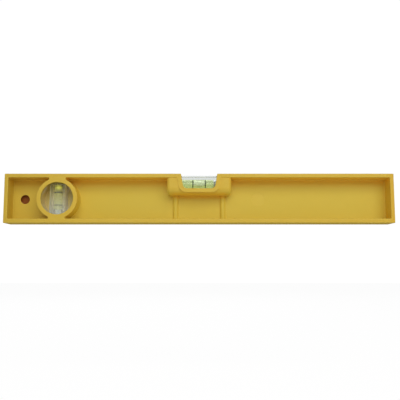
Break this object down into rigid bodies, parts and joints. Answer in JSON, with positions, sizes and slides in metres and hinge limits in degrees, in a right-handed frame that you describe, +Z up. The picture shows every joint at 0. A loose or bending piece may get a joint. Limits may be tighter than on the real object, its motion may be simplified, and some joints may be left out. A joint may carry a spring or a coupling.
{
  "type": "spirit level",
  "caption": "Moulded spirit level with a recessed body, a horizontal vial read through a top notch and a plumb vial in a round window.",
  "frame": {"origin": "centre of the underside, on the measuring face", "axes": "+X along the level, away from the plumb vial; +Y from the reading face to the rear; +Z up, from the measuring face to the notched edge"},
  "size_m": [0.4, 0.024, 0.0508],
  "materials": {
    "body_plastic": "satin moulded, opaque yellow",
    "cover_plastic": "satin moulded, opaque yellow",
    "clear_acrylic": "polished clear acrylic",
    "plug_plastic": "satin translucent white",
    "green_liquid": "clear yellow-green liquid",
    "air": "air bubble",
    "line_ink": "matt dark green"
  },
  "bodies": {
    "level": {"body": "body_plastic", "horizontal_vial_cover": "cover_plastic", "horizontal_vial_block": "clear_acrylic", "horizontal_vial_plug": "plug_plastic", "horizontal_vial_liquid": "green_liquid", "horizontal_line_left": "line_ink", "horizontal_line_right": "line_ink", "plumb_window": "clear_acrylic", "plumb_vial_block": "clear_acrylic", "plumb_vial_plug": "plug_plastic", "plumb_vial_liquid": "green_liquid", "plumb_line_upper": "line_ink", "plumb_line_lower": "line_ink"},
    "horizontal_bubble": {"horizontal_vial_bubble": "air"},
    "plumb_bubble": {"plumb_vial_bubble": "air"}
  },
  "joints": [
    {"name": "horizontal_bubble_travel", "type": "slide", "parent": "level", "child": "horizontal_bubble", "axis": [1, 0, 0], "range_m": [-0.0105, 0.0074], "stiffness_N_per_m": 0.5, "deforming": ["horizontal_vial_liquid"]},
    {"name": "plumb_bubble_travel", "type": "slide", "parent": "level", "child": "plumb_bubble", "axis": [0, 0, 1], "range_m": [-0.0192, 0], "stiffness_N_per_m": 0.5, "springref_m": 0.05, "deforming": ["plumb_vial_liquid"]}
  ]
}
